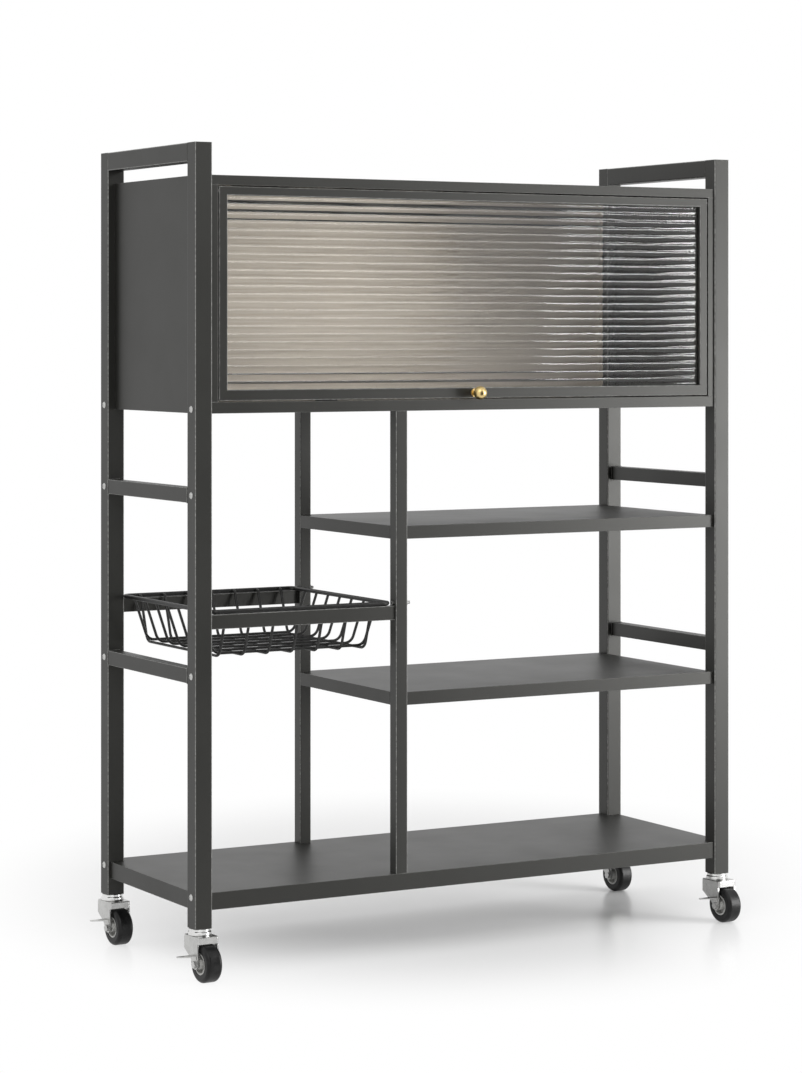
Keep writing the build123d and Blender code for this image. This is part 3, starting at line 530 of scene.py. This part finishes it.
def frame_bolts():
    """The bolts on the outer faces of the corner posts, with sockets in their heads."""
    builder = bmesh.new()
    for side, outward in (("left", -1), ("right", 1)):
        for end in ("front", "rear"):
            post = "post_" + end + "_" + side
            post_low, post_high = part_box(post)
            face = post_low[0] if outward < 0 else post_high[0]
            turned = Matrix.Rotation(outward * pi / 2, 4, "Y")
            for height, shank in bolt_levels():
                spot = Matrix.Translation((face, middle(post, 1), height))
                add_bolt(builder, shank, spot @ turned)
    bmesh.ops.recalc_face_normals(builder, faces=builder.faces)
    mesh = bpy.data.meshes.new("bolt_heads")
    builder.to_mesh(mesh)
    builder.free()
    for face in mesh.polygons:
        face.use_smooth = True
    mesh.set_sharp_from_angle(angle=radians(sharp_angle))
    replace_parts(on_body("bolt_heads", mesh, "zinc", "frame"), "frame_bolts")


def weld_loop(curve, low, high, y):
    """A closed run of weld round the end of a bar that meets a post at this Y."""
    corners = [(low[0], low[2]), (high[0], low[2]), (high[0], high[2]), (low[0], high[2])]
    run = curve.splines.new("POLY")
    run.points.add(len(corners) - 1)
    for point, (x, z) in zip(run.points, corners):
        point.co = (x, y, z, 1.0)
    run.use_cyclic_u = True


def welds():
    """Weld beads where the bars of the side frames meet the corner posts."""
    curve = bpy.data.curves.new("frame_welds", "CURVE")
    curve.dimensions = "3D"
    curve.bevel_depth = weld_radius
    curve.bevel_resolution = weld_resolution
    for side in ("left", "right"):
        for bar in ("crossbar_upper_", "crossbar_lower_"):
            low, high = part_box(bar + side)
            for y in (low[1], high[1]):
                weld_loop(curve, low, high, y)
    on_body("frame_welds", curve, "grey_steel", "frame")


def stage_plane(name, size, place, turn, material):
    """A flat sheet of the studio, which isn't part of the cart."""
    bpy.ops.mesh.primitive_plane_add(size=size, location=place, rotation=turn)
    plane = bpy.context.object
    plane.name = name
    plane.data.materials.append(material)
    return plane


def floor():
    corner = Vector(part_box("post_front_left")[0])
    corner.z = 0.0
    turned = (0, 0, -radians(camera_yaw))
    stage_plane("studio_floor", floor_size, corner + floor_offset, turned, pale_floor("studio_floor"))


def world():
    """White where the camera, a reflection or glass sees it, and softer as a light."""
    sky = bpy.data.worlds.new("studio_world")
    bpy.context.scene.world = sky
    sky.use_nodes = True
    tree = sky.node_tree
    light = tree.nodes["Background"]
    light.inputs["Color"].default_value = (*white, 1.0)
    light.inputs["Strength"].default_value = world_light
    seen = tree.nodes.new("ShaderNodeBackground")
    seen.inputs["Color"].default_value = (*white, 1.0)
    seen.inputs["Strength"].default_value = 1.0
    path = tree.nodes.new("ShaderNodeLightPath")
    either = path.outputs["Is Camera Ray"]
    for name in ("Is Glossy Ray", "Is Transmission Ray"):
        largest = tree.nodes.new("ShaderNodeMath")
        largest.operation = "MAXIMUM"
        tree.links.new(either, largest.inputs[0])
        tree.links.new(path.outputs[name], largest.inputs[1])
        either = largest.outputs["Value"]
    choice = tree.nodes.new("ShaderNodeMixShader")
    tree.links.new(either, choice.inputs["Fac"])
    tree.links.new(light.outputs["Background"], choice.inputs[1])
    tree.links.new(seen.outputs["Background"], choice.inputs[2])
    tree.links.new(choice.outputs["Shader"], tree.nodes["World Output"].inputs["Surface"])


def soft_lamp(name, place, aim, size, power):
    data = bpy.data.lights.new(name, "AREA")
    data.shape = "RECTANGLE"
    data.size, data.size_y = size
    data.energy = power
    lamp = bpy.data.objects.new(name, data)
    bpy.context.scene.collection.objects.link(lamp)
    lamp.location = place
    lamp.rotation_euler = (Vector(aim) - Vector(place)).to_track_quat("-Z", "Y").to_euler()


def dark_card(name, left, right, top):
    """A dark card, upright on the floor, that only reflections show."""
    place = ((left + right) / 2, card_y, top / 2)
    card = stage_plane(name, 1.0, place, (pi / 2, 0, 0), matt_card(name))
    card.scale = (right - left, top, 1.0)
    card.visible_camera = False
    card.visible_diffuse = False
    card.visible_transmission = False
    card.visible_shadow = False


def studio():
    world()
    for name, row in lamp_rows.items():
        soft_lamp(name, **row)
    for name, row in card_rows.items():
        dark_card(name, **row)
    floor()


def camera():
    data = bpy.data.cameras.new("camera")
    data.sensor_width = sensor_size
    data.lens = focal_pixels / image_height * sensor_size
    data.shift_x = camera_shift
    data.shift_y = (horizon_row - image_height / 2) / image_height
    made = bpy.data.objects.new("camera", data)
    bpy.context.scene.collection.objects.link(made)
    made.location = Vector(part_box("post_front_left")[0]) + camera_offset
    made.rotation_euler = (pi / 2, 0, -radians(camera_yaw))
    bpy.context.scene.camera = made


dress_solids()
frame_bolts()
welds()
camera()
studio()
bpy.context.scene.view_settings.view_transform = "Standard"
